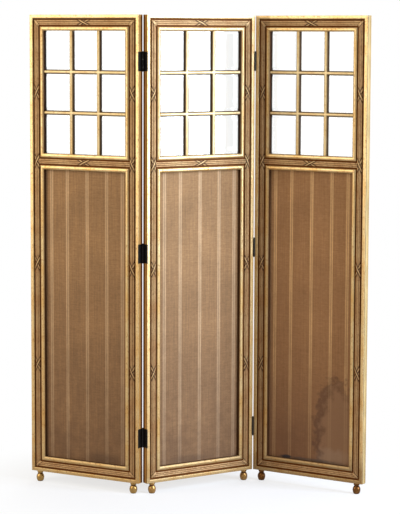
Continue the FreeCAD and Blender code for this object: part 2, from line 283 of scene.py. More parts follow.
@dataclass
class Palette:
    """A node tree, with the few kinds of node that work out values and colours."""

    tree: bpy.types.NodeTree

    def axes(self, vector: Socket) -> tuple[Socket, ...]:
        """Split a vector into its X, Y and Z."""
        return tuple(add_node(self.tree, "SeparateXYZ", {"Vector": vector}).outputs)

    def length(self, vector: Socket) -> Socket:
        """Measure a vector."""
        return add_node(self.tree, "VectorMath", {0: vector}, operation="LENGTH").outputs["Value"]

    def calc(self, operation: str, *values: Value, clamp: bool = False) -> Socket:
        """Work out one value from up to three others."""
        return add_node(self.tree, "Math", dict(enumerate(values)), operation=operation,
                        use_clamp=clamp).outputs[0]

    def remap(self, value: Socket, span: Pair = (0.0, 1.0), to: Pair = (0.0, 1.0),
              **settings: Any) -> Socket:
        """Stretch a value from one span to another and hold it there."""
        return add_node(self.tree, "MapRange", {
            "Value": value, "From Min": span[0], "From Max": span[1], "To Min": to[0],
            "To Max": to[1]}, **settings).outputs["Result"]

    def mix(self, share: Value, first: Value, second: Value, blend: str = "MIX") -> Socket:
        """Mix a share of a second colour into a first."""
        return add_node(self.tree, "Mix", {0: share, 6: first, 7: second}, data_type="RGBA",
                        blend_type=blend).outputs[2]

    def ramp(self, value: Socket, stops: Iterable[tuple[float, str]]) -> Socket:
        """Colour a value by stops, each a place and an sRGB hex colour."""
        return add_node(self.tree, "ValToRGB", {"Fac": value}, stops).outputs["Color"]


@dataclass
class Canvas(Palette):
    """Node tree of a material, whose places are in the fold's own frame in millimetres."""

    shader: bpy.types.Node
    place: Socket
    facing: Socket
    fold: Fold

    def attribute(self, name: str) -> Socket:
        """Read one of the values that a carving's points carry."""
        return add_node(self.tree, "Attribute", attribute_name=name).outputs["Fac"]

    def noise(self, pattern: Pattern) -> Socket:
        """Add a pattern's noise as it is, before it is stretched.

        Args:
            pattern: size and kind of the noise.

        Returns:
            The noise, which lies about one half.
        """
        place, size = self.place, pattern.size
        if isinstance(size, tuple):
            place = add_node(self.tree, "Mapping", {
                "Vector": place, "Scale": tuple(1 / s for s in size)}).outputs["Vector"]
            size = 1.0
        noise = add_node(self.tree, "TexNoise", {
            "Vector": place, "Scale": 1 / size, "Detail": pattern.detail,
            "Roughness": pattern.roughness}, noise_dimensions="4D" if pattern.own else "3D")
        if pattern.own:
            noise.inputs["W"].default_value = float(self.fold.seed)
        return noise.outputs["Fac"]

    def pattern(self, pattern: Pattern) -> Socket:
        """Add a pattern, stretched to its values."""
        return self.remap(self.noise(pattern), pattern.span, pattern.to)

    def weave(self, thread: float, waver: float) -> Socket:
        """Add a plain weave, its threads this many millimetres apart."""
        ways = [add_node(self.tree, "TexWave", {
            "Vector": self.place, "Scale": math.tau / WAVE_TURNS / thread, "Distortion": waver},
            bands_direction=way).outputs["Fac"] for way in "XZ"]
        return self.calc("MULTIPLY", *ways)

    def apply(self, values: dict[str, Value], height: Socket, relief: Pair) -> None:
        """Set the shader's own sockets and a relief, which has a strength and a depth in mm."""
        bump = add_node(self.tree, "Bump", {"Height": height, "Strength": relief[0],
                                            "Distance": relief[1] * MM})
        set_inputs(self.tree, self.shader, {**values, "Normal": bump.outputs["Normal"]})


@dataclass(frozen=True)
class Finish:
    """A finish that becomes one material for each fold."""

    name: str

    def material(self, fold: Fold) -> bpy.types.Material:
        """Make the finish's material in a fold's own coordinates.

        Args:
            fold: fold whose frame the patterns lie in.

        Returns:
            The material, made once for each fold.
        """
        title = f"{self.name}_{fold.name.value}"
        if title in bpy.data.materials:
            return bpy.data.materials[title]
        material = bpy.data.materials.new(title)
        material.use_nodes = True
        tree = material.node_tree
        angle = math.radians(fold.turn)
        spot = add_node(tree, "TexCoord")
        place = add_node(tree, "Mapping", {
            "Vector": spot.outputs["Object"], "Location": (*(c * MM for c in fold.base), 0.0),
            "Rotation": (0.0, 0.0, angle), "Scale": (MM, MM, MM)}, vector_type="TEXTURE")
        facing = add_node(tree, "Mapping", {
            "Vector": spot.outputs["Normal"], "Rotation": (0.0, 0.0, -angle)},
            vector_type="VECTOR")
        shader = tree.nodes["Principled BSDF"]
        self.paint(Canvas(tree, shader, place.outputs["Vector"], facing.outputs["Vector"], fold))
        return material

    def paint(self, canvas: Canvas) -> None:
        """Set the shader's sockets; each finish has its own way."""
        raise NotImplementedError


@dataclass(frozen=True)
class WaterGilding(Finish):
    """Gold leaf laid over red-brown bole on gessoed carving, then burnished and toned.

    It gives the eye a soft pale shine on what stands proud, brown rubs where hands have worn it
    and a dark glaze left in the hollows, which also carries painted shadow beside the ribbons and
    painted shade on crossbar flanks. Painted shade makes it browner low on the fold and darkens
    the right fold's stile in the turn of the row, and the low rails are darker towards the bottom.
    Its tone drifts over about a hand's width.
    """

    leaf: str = "#D4BA88"
    warm: str = "#CCA262"
    bole: str = "#9C6630"
    glaze: str = "#4A2404"
    ribbon: str = "#D8B680"
    ribbon_fade: float = -2.6
    worn: float = 0.42
    worn_shift: float = 0.4
    low_shade_warmth: float = 0.28
    turn_stile_shade: float = 0.3
    stile_fade: float = 2.0
    sill_darkening: Triple = (0.15, 0.25, 0.5)
    sill_fade: Pair = (-10.0, 60.0)
    dirt: float = 1.7
    glazed: Pair = (0.3, 0.75)
    metallic: float = 0.85
    worn_metallic: float = 0.05
    leaf_roughness: float = 0.37
    worn_roughness: float = 0.55
    specular: float = 0.25
    drift: Pattern = Pattern(70.0, (0.4, 0.75), detail=3.0, own=True)
    rubs: Pattern = Pattern(8.0, (0.5, 0.74), detail=4.0, roughness=0.65)
    brush: Pattern = Pattern(1.5)
    relief: Pair = (0.25, 0.3)

    def paint(self, canvas: Canvas) -> None:
        """Lay leaf, rubs and glaze.

        Args:
            canvas: canvas to paint on.
        """
        x, _, z = canvas.axes(canvas.place)
        # Painted shade: the gilding turns browner low on the fold, as light falls off towards the
        # floor; the same share dulls the shine and the ribbons low down
        low = canvas.remap(z, (0.0, SIZES.mid_rail), (self.low_shade_warmth, 0.0))
        warmer = canvas.calc("ADD", canvas.pattern(self.drift), low, clamp=True)
        colour = canvas.mix(warmer, self.leaf, self.warm)
        shift = (0.5 - self.worn) * self.worn_shift
        first, last = self.rubs.span
        rubbed = canvas.remap(canvas.noise(self.rubs), (first + shift, last + shift))
        colour = canvas.mix(rubbed, colour, self.bole)
        tied = canvas.calc("MULTIPLY_ADD", low, self.ribbon_fade, canvas.attribute("ribbon"),
                           clamp=True)
        colour = canvas.mix(tied, colour, self.ribbon)
        # The hollow glaze also carries painted shadow beside the ribbons and painted shade on
        # crossbar flanks
        glaze_and_shade = canvas.remap(canvas.attribute("hollow"), self.glazed)
        colour = canvas.mix(glaze_and_shade, colour, self.glaze)
        # Painted shade darkens the right fold's stile in the turn of the row, beside the centre
        # fold; the low rails are darker towards the bottom
        edge, sill = SIZES.stile - SIZES.width / 2, SIZES.foot_height + SIZES.stile
        turn_shade = self.turn_stile_shade if canvas.fold.name is FoldName.RIGHT else 0.0
        turn_shade_and_sill_dark = canvas.calc(
            "MAXIMUM", canvas.remap(x, (edge, edge + self.stile_fade), (turn_shade, 0.0)),
            canvas.remap(z, (sill + self.sill_fade[0], sill + self.sill_fade[1]),
                         (self.sill_darkening[canvas.fold.seed - 1], 0.0)))
        dirt = canvas.calc("MULTIPLY_ADD", low, self.dirt, rubbed, clamp=True)
        dull = canvas.calc("MAXIMUM", dirt, glaze_and_shade)
        canvas.apply({
            "Base Color": canvas.mix(turn_shade_and_sill_dark, colour, self.glaze),
            "Metallic": canvas.remap(dull, to=(self.metallic, self.worn_metallic)),
            "Roughness": canvas.remap(dull, to=(self.leaf_roughness, self.worn_roughness)),
            "Specular IOR Level": self.specular}, canvas.noise(self.brush), self.relief)


@dataclass(frozen=True)
class TonedFrame(Finish):
    """Planed beech: dark glaze in the face's channels, toned gilding on the edges, a bare back.

    It gives the eye dark lines between the mouldings, an ochre edge that dims to the back,
    painted shade that darkens the hinged edges towards the back, brown reveals and an honest oiled
    back with a fine grain.
    """

    grain: Grain = Grain.UPRIGHT
    channel: str = "#763E0A"
    edge_front: str = "#C8B07C"
    edge_back: str = "#A88A58"
    hinged_front: str = "#CE9C56"
    hinged_shade: str = "#7A4220"
    hinged_shade_span: Pair = (0.15, 0.9)
    reveal_front: str = "#5E3B1F"
    reveal_back: str = "#291A11"
    back: str = "#8A6139"
    pore: str = "#5C3D20"
    skin: float = 1.0
    faced: float = 0.5
    roughness: Pair = (0.5, 0.75)
    specular: float = 0.1
    lines: Pattern = Pattern((2.0, 2.0, 90.0), (0.48, 0.72), (0.0, 0.55), 4.0, 0.6)
    soil_and_shade: Pattern = Pattern(60.0, (0.35, 0.7), (1.06, 0.82), 3.0)
    relief: Pair = (0.3, 0.4)

    def edges(self, canvas: Canvas) -> Socket:
        """Colour the edges and reveals of a board.

        Args:
            canvas: canvas that takes the nodes.

        Returns:
            The colour of faces that look sideways, up or down.
        """
        x, y, z = canvas.axes(canvas.place)
        depth = canvas.remap(y, (SIZES.relief, SIZES.thickness))
        edge = canvas.mix(depth, self.edge_front, self.edge_back)
        # Outside edges lie within a skin of the fold's own outline
        edge_x = SIZES.width / 2 - self.skin
        # Painted shade: hinged edges darken towards the back, where the neighbouring fold shades
        # the gap
        hinged_edge_shade = canvas.mix(canvas.remap(depth, self.hinged_shade_span), self.hinged_front, self.hinged_shade)
        for side in canvas.fold.hinged:
            past = (canvas.calc("GREATER_THAN", x, edge_x) if side is Side.RIGHT
                    else canvas.calc("LESS_THAN", x, -edge_x))
            edge = canvas.mix(past, edge, hinged_edge_shade)
        inner = canvas.remap(y, (SIZES.relief, SIZES.rebate_y))
        reveal = canvas.mix(inner, self.reveal_front, self.reveal_back)
        outside = canvas.calc("GREATER_THAN", canvas.calc("ABSOLUTE", x), edge_x)
        for end in (canvas.calc("GREATER_THAN", z, SIZES.top - self.skin),
                    canvas.calc("LESS_THAN", z, SIZES.foot_height + self.skin)):
            outside = canvas.calc("MAXIMUM", outside, end)
        return canvas.mix(outside, reveal, edge)

    def paint(self, canvas: Canvas) -> None:
        """Colour each face of a board by where it looks and lies.

        Args:
            canvas: canvas to paint on.
        """
        upright = self.grain is Grain.UPRIGHT
        lines = self.lines if upright else replace(self.lines, size=self.lines.size[::-1])
        grain = canvas.noise(lines)
        facing = canvas.axes(canvas.facing)[1]
        colour = canvas.mix(canvas.calc("LESS_THAN", facing, -self.faced), self.edges(canvas),
                            self.channel)
        colour = canvas.mix(canvas.calc("GREATER_THAN", facing, self.faced), colour, self.back)
        colour = canvas.mix(canvas.remap(grain, lines.span, lines.to), colour, self.pore)
        canvas.apply({
            "Base Color": canvas.mix(1.0, colour, canvas.pattern(self.soil_and_shade), "MULTIPLY"),
            "Roughness": canvas.remap(grain, to=self.roughness),
            "Specular IOR Level": self.specular}, grain, self.relief)


@dataclass(frozen=True)
class PlanedWood(Finish):
    """Planed softwood or stained hardwood strips with a plain straight grain.

    It gives the eye quiet parallel lines and a dry, dull surface.
    """

    light: str = "#B98F5E"
    dark: str = "#8E683F"
    roughness: float = 0.62
    lines: Pattern = Pattern((3.0, 3.0, 40.0), (0.35, 0.68), detail=4.0)
    relief: Pair = (0.3, 0.3)

    def paint(self, canvas: Canvas) -> None:
        """Lay the grain lines.

        Args:
            canvas: canvas to paint on.
        """
        grain = canvas.noise(self.lines)
        wood = canvas.ramp(grain, zip(self.lines.span, (self.light, self.dark)))
        canvas.apply({"Base Color": wood, "Roughness": self.roughness}, grain, self.relief)


@dataclass(frozen=True)
class PolishedGlass(Finish):
    """Old drawn glass, ground and polished to a bevel.

    It gives the eye clear lights with a faint ripple and a slight green in the thick of it.
    """

    tint: str = "#FDFEFD"
    ior: float = 1.5
    ripple: Pattern = Pattern(45.0)
    bloom: Pattern = Pattern(25.0, (0.45, 0.8), (0.0, 0.05), 4.0)
    relief: Pair = (0.1, 0.5)

    def paint(self, canvas: Canvas) -> None:
        """Set clear glass with a slow ripple and a little bloom."""
        canvas.apply({"Base Color": self.tint, "Transmission Weight": 1.0, "IOR": self.ior,
                      "Roughness": canvas.pattern(self.bloom)}, canvas.noise(self.ripple),
                     self.relief)


@dataclass(frozen=True)
class Stain:
    """A mark on a cloth: its middle and half sizes in millimetres, its tint and strength."""

    fold: FoldName
    middle: Pair
    half: Pair
    tint: str
    strength: float
    edge: float = 0.35


@dataclass(frozen=True)
class StripedRep(Finish):
    """Wool rep, woven brown with paired paler stripes and faded by age.

    It gives the eye a dry ribbed ground, slubs across the weft, soft stripes down the warp,
    painted shade mixed with patchy soil that darkens it towards the bottom, and the stains of long
    use. Threads are really 0.6 mm apart and are drawn coarser so that they show. A stripe's lines
    are greys by their distance from its middle.
    """

    ground: str = "#AE865A"
    slub: str = "#9A7349"
    stripes: tuple[str, ...] = ("#D4B086", "#D4B086", "#E8C088")
    soil_and_shade: str = "#4A2813"
    low_shade_most: float = 0.55
    low_shade_reach: float = 0.75
    stripe_shares: tuple[float, ...] = (0.075, 0.27, 0.515, 0.755, 0.945)
    stripe_shifts: Triple = (-1.0, -0.5, -3.6)
    stripe_lines: tuple[tuple[float, str], ...] = (
        (0.0, "#9C9C9C"), (1.3, "#A8A8A8"), (2.5, "#FFFFFF"), (6.0, "#E6E6E6"), (7.4, "#000000"))
    thread: float = 1.6
    thread_waver: float = 0.6
    thread_shade: Pair = (0.9, 1.08)
    roughness: float = 0.86
    sheen: float = 0.25
    slubs: Pattern = Pattern((30.0, 30.0, 2.0), (0.35, 0.75), detail=3.0, own=True)
    fading: Pattern = Pattern(160.0, (0.3, 0.75), (1.08, 0.82), 3.0, own=True)
    dye: Pattern = Pattern((4.0, 4.0, 150.0), (0.3, 0.7), (0.86, 1.14), own=True)
    nap: Pattern = Pattern(8.0, (0.3, 0.7), (0.9, 1.1), 3.0, own=True)
    rags: Pattern = Pattern(25.0, (0.3, 0.7), (0.86, 1.14), 4.0)
    rim_wander: float = 0.9
    rim_at: float = 1.45
    relief: Pair = (0.5, 0.5)
    stains: tuple[Stain, ...] = (
        Stain(FoldName.RIGHT, (0.0, 620.0), (700.0, 2000.0), "#A86830", 0.22),
        Stain(FoldName.RIGHT, (-70.0, 170.0), (230.0, 250.0), "#4A2416", 0.3, 0.8),
        Stain(FoldName.RIGHT, (112.0, 205.0), (98.0, 215.0), "#3A180A", 0.5, 0.16),
        Stain(FoldName.RIGHT, (126.0, 185.0), (88.0, 205.0), "#A47C58", 0.46, 0.25),
        Stain(FoldName.RIGHT, (92.0, 116.0), (80.0, 40.0), "#B09A84", 0.22, 0.5),
        Stain(FoldName.RIGHT, (10.0, 98.0), (150.0, 9.0), "#4B423C", 0.6, 0.6),
        Stain(FoldName.RIGHT, (-94.0, 100.0), (28.0, 8.0), "#15121A", 0.9, 0.4),
        Stain(FoldName.RIGHT, (169.5, 745.0), (4.5, 175.0), "#D8C398", 0.75, 0.4),
        Stain(FoldName.LEFT, (70.0, 112.0), (85.0, 22.0), "#47301F", 0.4, 0.6),
        Stain(FoldName.CENTRE, (-40.0, 108.0), (110.0, 16.0), "#4F3A28", 0.35, 0.6),
    )

    def striping(self, canvas: Canvas, across: Socket) -> Socket:
        """Find the stripes.

        Args:
            canvas: canvas that takes the nodes.
            across: places across the cloth.

        Returns:
            A grey that is white in a stripe's pale lines and black between stripes.
        """
        reach = 2 * self.stripe_lines[-1][0]
        near: Value = SIZES.width
        for share in self.stripe_shares:
            middle = (share - 0.5) * SIZES.opening + self.stripe_shifts[canvas.fold.seed - 1]
            gap = canvas.calc("ABSOLUTE", canvas.calc("SUBTRACT", across, middle))
            near = canvas.calc("MINIMUM", near, gap)
        return canvas.ramp(canvas.calc("DIVIDE", near, reach),
                           [(place / reach, grey) for place, grey in self.stripe_lines])

    def shade_and_soiling(self, canvas: Canvas, colour: Socket, up: Socket) -> Socket:
        """Lay painted shade mixed with patchy soil, which darkens the cloth towards the bottom,
        and stains with ragged rims.

        Args:
            canvas: canvas that takes the nodes.
            colour: the clean cloth's colour.
            up: places up the cloth.

        Returns:
            The soiled colour.
        """
        low, high = SIZES.lower
        rags = canvas.noise(self.rags)
        # Painted shade: the cloth darkens towards the bottom, as light falls off there, mixed with
        # patchy soil
        low_shade_share = canvas.remap(up, (low, low + self.low_shade_reach * (high - low)),
                            (self.low_shade_most, 0.0))
        patchy = canvas.remap(rags, self.rags.span, self.rags.to)
        colour = canvas.mix(canvas.calc("MULTIPLY", low_shade_share, patchy), colour, self.soil_and_shade)
        for stain in (mark for mark in self.stains if mark.fold is canvas.fold.name):
            spread = add_node(canvas.tree, "Mapping", {
                "Vector": canvas.place, "Location": (stain.middle[0], 0.0, stain.middle[1]),
                "Scale": (stain.half[0], SIZES.top, stain.half[1])}, vector_type="TEXTURE")
            rim = canvas.calc("MULTIPLY_ADD", rags, self.rim_wander,
                              canvas.length(spread.outputs["Vector"]))
            share = canvas.remap(rim, (self.rim_at, self.rim_at - stain.edge),
                                 (0.0, stain.strength))
            colour = canvas.mix(share, colour, stain.tint)
        return colour

    def paint(self, canvas: Canvas) -> None:
        """Weave the ground and stripes, then age them.

        Args:
            canvas: canvas to paint on.
        """
        across, _, up = canvas.axes(canvas.place)
        weave = canvas.weave(self.thread, self.thread_waver)
        ground = canvas.mix(canvas.pattern(self.slubs), self.ground, self.slub)
        striped = canvas.mix(self.striping(canvas, across), ground,
                             self.stripes[canvas.fold.seed - 1])
        shade = canvas.remap(weave, to=self.thread_shade)
        for wear in (self.fading, self.dye, self.nap):
            shade = canvas.calc("MULTIPLY", shade, canvas.pattern(wear))
        aged = canvas.mix(1.0, striped, shade, "MULTIPLY")
        canvas.apply({"Base Color": self.shade_and_soiling(canvas, aged, up), "Roughness": self.roughness,
                      "Sheen Weight": self.sheen}, weave, self.relief)


@dataclass(frozen=True)
class PlainLining(Finish):
    """Plain-woven cotton lining.

    It gives the eye a flat, fine, dull brown cloth with slight slubs. Threads are really 0.5 mm
    apart and are drawn coarser so that they show.
    """

    light: str = "#8E7350"
    dark: str = "#7A6142"
    thread: float = 1.4
    thread_waver: float = 0.5
    thread_shade: Pair = (0.86, 1.06)
    roughness: float = 0.9
    blots: Pattern = Pattern(90.0, (0.35, 0.7), detail=5.0)
    relief: Pair = (0.4, 0.4)

    def paint(self, canvas: Canvas) -> None:
        """Weave a plain ground.

        Args:
            canvas: canvas to paint on.
        """
        weave = canvas.weave(self.thread, self.thread_waver)
        ground = canvas.ramp(canvas.noise(self.blots),
                             zip(self.blots.span, (self.light, self.dark)))
        shade = canvas.remap(weave, to=self.thread_shade)
        canvas.apply({"Base Color": canvas.mix(1.0, ground, shade, "MULTIPLY"),
                      "Roughness": self.roughness}, weave, self.relief)


@dataclass(frozen=True)
class JapannedIron(Finish):
    """Iron under baked black varnish, rubbed to brown metal where it has worn.

    It gives the eye a near-black satin with small brown rubs and a little orange peel.
    """

    varnish: str = "#14110F"
    rub: str = "#4A3628"
    roughness: float = 0.32
    uneven: Pair = (-0.1, 0.2)
    metallic: Pair = (0.1, 0.8)
    rubs: Pattern = Pattern(6.0, (0.56, 0.72), detail=5.0, roughness=0.7)
    peel: Pattern = Pattern(1.0)
    relief: Pair = (0.2, 0.2)

    def paint(self, canvas: Canvas) -> None:
        """Lay varnish and rubs.

        Args:
            canvas: canvas to paint on.
        """
        rubs = canvas.noise(self.rubs)
        bare = canvas.remap(rubs, self.rubs.span)
        least, most = (self.roughness + change for change in self.uneven)
        canvas.apply({"Base Color": canvas.mix(bare, self.varnish, self.rub),
                      "Metallic": canvas.remap(bare, to=self.metallic),
                      "Roughness": canvas.remap(rubs, to=(least, most))},
                     canvas.noise(self.peel), self.relief)


def arc_depth(across: np.ndarray, start: Pair, middle: Pair, end: Pair) -> np.ndarray:
    """Depth of a circular arc through three points of a section.

    Args:
        across: places across the section.
        start: first point of the arc, across and deep.
        middle: a point on the arc, nearer the front than its ends' line.
        end: last point of the arc.

    Returns:
        The arc's depth at each place.
    """
    (x1, y1), (x2, y2), (x3, y3) = start, middle, end
    twice = 2 * (x1 * (y2 - y3) + x2 * (y3 - y1) + x3 * (y1 - y2))
    s1, s2, s3 = x1 * x1 + y1 * y1, x2 * x2 + y2 * y2, x3 * x3 + y3 * y3
    cx = (s1 * (y2 - y3) + s2 * (y3 - y1) + s3 * (y1 - y2)) / twice
    cy = (s1 * (x3 - x2) + s2 * (x1 - x3) + s3 * (x2 - x1)) / twice
    square = (x1 - cx) ** 2 + (y1 - cy) ** 2
    return cy - np.sqrt(np.maximum(square - (across - cx) ** 2, 0.0))


def hand_wander(along: np.ndarray, seed: int, reach: float) -> np.ndarray:
    """Slow unevenness of handwork along a length.

    Args:
        along: places along the length, in millimetres.
        seed: number that shifts the waves.
        reach: greatest depth of one wave, in millimetres.

    Returns:
        The depth to add at each place.
    """
    waves = np.zeros_like(along)
    for i, length in enumerate(HAND_WAVES):
        waves += np.sin(math.tau * along / length + SEED_SHIFT * seed + WAVE_SHIFT * i)
    return waves * reach / 2


@dataclass
class Carving:
    """Points, faces and hollows of a piece while it is being shaped."""

    points: list[np.ndarray] = field(default_factory=list)
    hollows: list[np.ndarray] = field(default_factory=list)
    ribbons: list[np.ndarray] = field(default_factory=list)
    faces: list[list[int]] = field(default_factory=list)
    count: int = 0

    def add_loft(self, grid: np.ndarray, hollow: np.ndarray,
                 ribbon: np.ndarray | None = None) -> None:
        """Skin closed rings into one closed solid.

        Args:
            grid: points by row along the length and by column round the ring.
            hollow: how deep in the carving each point is, from 0 to 1.
            ribbon: how far a point is on a clean ribbon, if the piece has ribbons.
        """
        rows, columns, _ = grid.shape
        index = self.count + np.arange(rows * columns).reshape(rows, columns)
        after = np.roll(index, -1, axis=1)
        quads = np.stack([index[:-1], after[:-1], after[1:], index[1:]], axis=-1)
        self.faces += quads.reshape(-1, 4).tolist()
        self.faces += [index[0][::-1].tolist(), index[-1].tolist()]
        self.points.append(grid.reshape(-1, 3))
        self.hollows.append(np.clip(hollow, 0.0, 1.0).reshape(-1))
        self.ribbons.append(np.zeros(rows * columns) if ribbon is None else ribbon.reshape(-1))
        self.count += rows * columns

    def piece(self, name: str, fold: Fold, sharp: float = 38.0) -> bpy.types.Object:
        """Make the object, smooth but for edges sharper than an angle.

        Args:
            name: name of the piece.
            fold: fold that the piece stands in and rides on.
            sharp: angle in degrees above which an edge stays sharp.

        Returns:
            The new object.
        """
        mesh = bpy.data.meshes.new(name)
        mesh.from_pydata(fold.to_row(np.concatenate(self.points)).tolist(), [], self.faces)
        for title, values in (("hollow", self.hollows), ("ribbon", self.ribbons)):
            mesh.attributes.new(title, "FLOAT", "POINT").data.foreach_set(
                "value", np.concatenate(values).astype(np.float32))
        work = bmesh.new()
        work.from_mesh(mesh)
        bmesh.ops.recalc_face_normals(work, faces=work.faces)
        work.to_mesh(mesh)
        work.free()
        mesh.shade_smooth()
        mesh.set_sharp_from_angle(angle=math.radians(sharp))
        piece = bpy.data.objects.new(name, mesh)
        bpy.context.scene.collection.objects.link(piece)
        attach(piece, fold.body)
        LOG.info("%s: %d points, %d faces", name, len(mesh.vertices), len(mesh.polygons))
        return piece


@dataclass(frozen=True)
class Length:
    """One length of moulding on a side of a rectangle, which has a half width and limits."""

    side: Side
    half: float
    limits: Pair
    mitred: bool = True
    notches: tuple[Pair, ...] = ()
    notch_depth: float = 1.6
    fade: float = 42.0

    @property
    def run(self) -> float:
        """How long the length is."""
        upright = self.side in (Side.LEFT, Side.RIGHT)
        return self.limits[1] - self.limits[0] if upright else 2 * self.half

    @property
    def number(self) -> int:
        """Number of the length's side."""
        return list(Side).index(self.side)

    def grid(self, section: np.ndarray, rows: np.ndarray) -> np.ndarray:
        """Place a section's ring along the length.

        Args:
            section: ring points by row and column, across and deep.
            rows: places of the rows along the run.

        Returns:
            Points in the fold's frame by row and column.
        """
        across, deep = section[..., 0].copy(), section[..., 1]
        along = self.along(across, rows)
        for low, high in self.notches:
            inside = (along >= low) & (along <= high)
            across[inside] = np.maximum(across[inside], self.notch_depth)
        low, high = self.limits
        x, z = {Side.LEFT: (across - self.half, low + along),
                Side.RIGHT: (self.half - across, low + along),
                Side.BOTTOM: (along - self.half, low + across),
                Side.TOP: (along - self.half, high - across)}[self.side]
        return np.stack([x, deep, z], axis=-1)

    def along(self, across: np.ndarray, rows: np.ndarray) -> np.ndarray:
        """Find places along the run, leant over to the mitres near the ends.

        Args:
            across: places across the section by row and column.
            rows: places of the rows along the run.

        Returns:
            The places by row and column.
        """
        places = np.broadcast_to(rows[:, None], across.shape).astype(float)
        if not self.mitred:
            return places
        near = np.clip(1 - places / self.fade, 0, 1)
        far = np.clip(1 - (self.run - places) / self.fade, 0, 1)
        return places + np.maximum(across, 0.0) * (near - far)


@dataclass
class SubAssembly:
    """Pieces of one fold that are shaped here and stand for some of its nodes."""

    fold: Fold

    def dress(self, piece: bpy.types.Object, finish: Finish, node: str, slot: str) -> None:
        """Give a piece its finish and let it stand for a node.

        Args:
            piece: piece to dress.
            finish: finish that it takes.
            node: name of the node within the fold.
            slot: the node's material slot, not used.
        """
        piece.data.materials.append(finish.material(self.fold))
        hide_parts(self.fold.node(node))


@dataclass
class MouldedEdges(SubAssembly):
    """The outer band and the beads round both openings."""

    gilding: Finish
    seed_step: int = 10
    hinge_heights: Triple = (202.0, 864.5, 1541.0)
    leaf_half: float = 34.2
    row_step: float = 16.0
    notch_step: float = 0.05
    crest: float = 0.84
    band_points: int = 7
    band_shoulder: float = 3.5
    band_round: float = 4.42
    band_arris: float = 0.8
    band_crest: float = 0.3
    overhang: float = 0.6
    bead_points: int = 15
    bead_outer: float = 3.64
    bead_inner: float = 4.34
    bead_crest_at: float = 6.09
    wander: float = 0.1

    def band_front(self) -> np.ndarray:
        """Draw the band's section: a crisp outer edge, a flat and a rounded inner edge.

        Returns:
            Front of the section, across and deep.
        """
        quarter = np.linspace(0, math.pi / 2, self.band_points)
        cos, sin = np.cos(quarter), np.sin(quarter)
        outer = np.stack([self.band_arris * (1 - cos),
                          self.band_crest + self.band_arris * (1 - sin)], axis=-1)
        drop = self.band_shoulder - self.band_crest
        inner = np.stack([SIZES.band - self.band_round * (1 - cos),
                          self.band_shoulder - drop * sin], axis=-1)
        return np.concatenate([outer, inner[::-1]])

    def bead_front(self) -> np.ndarray:
        """Draw the bead's section, highest on its outer half.

        Returns:
            Front of the section, across and deep.
        """
        across = np.linspace(0, SIZES.bead, self.bead_points)
        deep = arc_depth(across, (0, self.bead_outer), (self.bead_crest_at, self.crest),
                         (SIZES.bead, self.bead_inner))
        return np.stack([across, deep], axis=-1)

    def add_side(self, carving: Carving, front: np.ndarray, length: Length) -> None:
        """Add one mitred length to a carving.

        Args:
            carving: carving that takes the length.
            front: front of the section, across and deep.
            length: the length's place and ends.
        """
        width, step = front[-1, 0], self.notch_step
        rows = np.linspace(0, length.run, max(3, round(length.run / self.row_step)))
        for low, high in length.notches:
            rows = np.concatenate([rows, [low - step, low, high, high + step]])
        rows = np.sort(rows)
        ring = np.concatenate([front, [(width, SIZES.relief), (0, SIZES.relief)]])
        section = np.broadcast_to(ring, (len(rows), *ring.shape)).copy()
        if length.notches:
            section[..., 0] -= self.overhang * (section[..., 0] < self.band_arris + TOLERANCE)
        seed = self.seed_step * self.fold.seed + length.number
        section[:, :len(front), 1] += hand_wander(rows, seed, self.wander)[:, None]
        hollow = (section[..., 1] - self.crest) / (SIZES.relief - self.crest)
        carving.add_loft(length.grid(section, rows), hollow)

    def add_frame(self, name: str, front: np.ndarray, width: float, limits: Pair,
                  notched: tuple[Side, ...] = ()) -> None:
        """Add a piece of four mitred lengths round a rectangle.

        Args:
            name: name of the node that the piece stands for.
            front: front of the section, across and deep.
            width: the rectangle's width.
            limits: low and high edge of the rectangle.
            notched: sides that are cut for hinge leaves.
        """
        carving = Carving()
        cuts = tuple((z - self.leaf_half - limits[0], z + self.leaf_half - limits[0])
                     for z in self.hinge_heights)
        for side in Side:
            self.add_side(carving, front, Length(side, width / 2, limits,
                                                 notches=cuts if side in notched else ()))
        piece = carving.piece(f"{self.fold.node(name)}_moulded", self.fold)
        self.dress(piece, self.gilding, name, "gilt_bright")

    def build(self) -> None:
        """Shape the three mouldings and give them their gilding."""
        self.add_frame("outer_band", self.band_front(), SIZES.width,
                       (SIZES.foot_height, SIZES.top), self.fold.hinged)
        for name, (low, high) in (("lower_bead", SIZES.lower), ("upper_bead", SIZES.upper)):
            self.add_frame(name, self.bead_front(), SIZES.opening + 2 * SIZES.bead,
                           (low - SIZES.bead, high + SIZES.bead))


@dataclass(frozen=True)
class Ribbon:
    """A carved ribbon: half its width, how clean its gilding is and how far its shade reaches."""

    half: float
    tint: float
    shade: float


